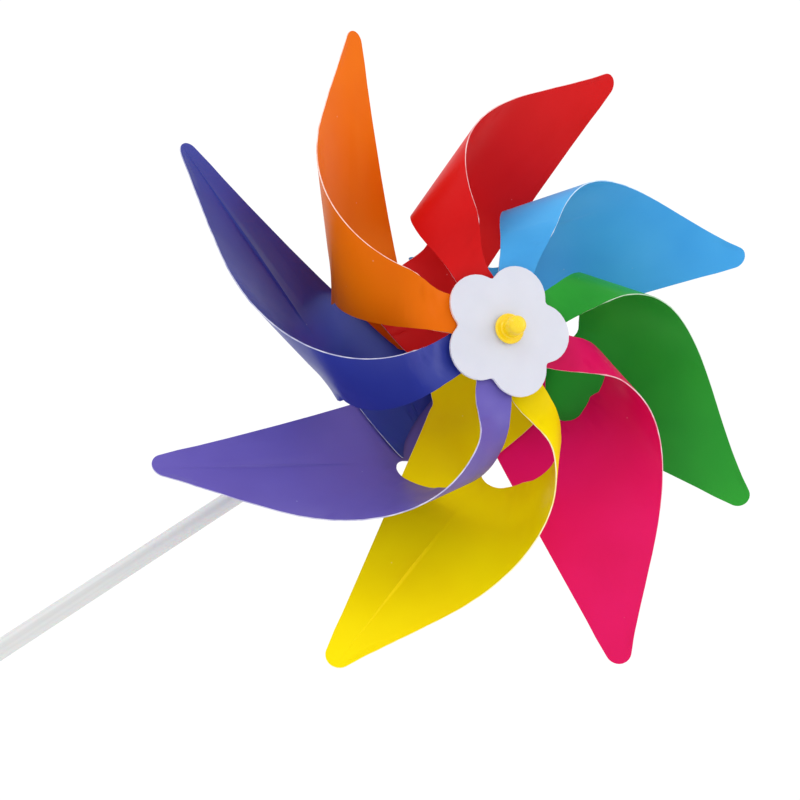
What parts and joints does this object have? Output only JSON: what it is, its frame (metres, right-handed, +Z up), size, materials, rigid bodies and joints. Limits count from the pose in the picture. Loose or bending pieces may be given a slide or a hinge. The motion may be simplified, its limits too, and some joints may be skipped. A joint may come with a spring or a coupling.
{
  "type": "pinwheel",
  "caption": "Handheld pinwheel: curled plastic blades in different colours gathered at a hub that spins on an axle at the top of a stick.",
  "frame": {"origin": "centre of the flat bottom face of the stick's end plug", "axes": "+Z up along the stick; the wheel faces -Y and its axle lies along Y"},
  "size_m": [0.2367, 0.0953, 0.4827],
  "materials": {
    "white_stick": "satin, slightly see-through",
    "white_fitting": "satin",
    "white_flower": "satin",
    "yellow_cap": "gloss",
    "axle_steel": "drawn wire",
    "sheet_orange": "satin sheet",
    "sheet_red": "satin sheet",
    "sheet_light_blue": "satin sheet",
    "sheet_green": "satin sheet",
    "sheet_magenta": "satin sheet",
    "sheet_yellow": "satin sheet",
    "sheet_purple": "satin sheet",
    "sheet_navy": "satin sheet"
  },
  "bodies": {
    "stick": {"stick_tube": "white_stick", "stick_end_plug": "white_fitting", "stick_head": "white_fitting", "axle": "axle_steel", "rear_cap": "white_fitting", "rear_spacer_bead": "white_fitting", "nose_cap": "yellow_cap"},
    "rotor": {"hub_sleeve": "white_fitting", "rear_hub_disc": "white_fitting", "rear_tab_ring": "white_fitting", "front_tab_ring": "white_fitting", "flower_disc": "white_flower", "blade_orange": "sheet_orange", "blade_red": "sheet_red", "blade_light_blue": "sheet_light_blue", "blade_green": "sheet_green", "blade_magenta": "sheet_magenta", "blade_yellow": "sheet_yellow", "blade_purple": "sheet_purple", "blade_navy": "sheet_navy"}
  },
  "joints": [
    {"name": "rotor_spin", "type": "hinge", "parent": "stick", "child": "rotor", "pos_m": [0, -0.0148, 0.3655], "axis": [0, -1, 0], "continuous": true}
  ]
}
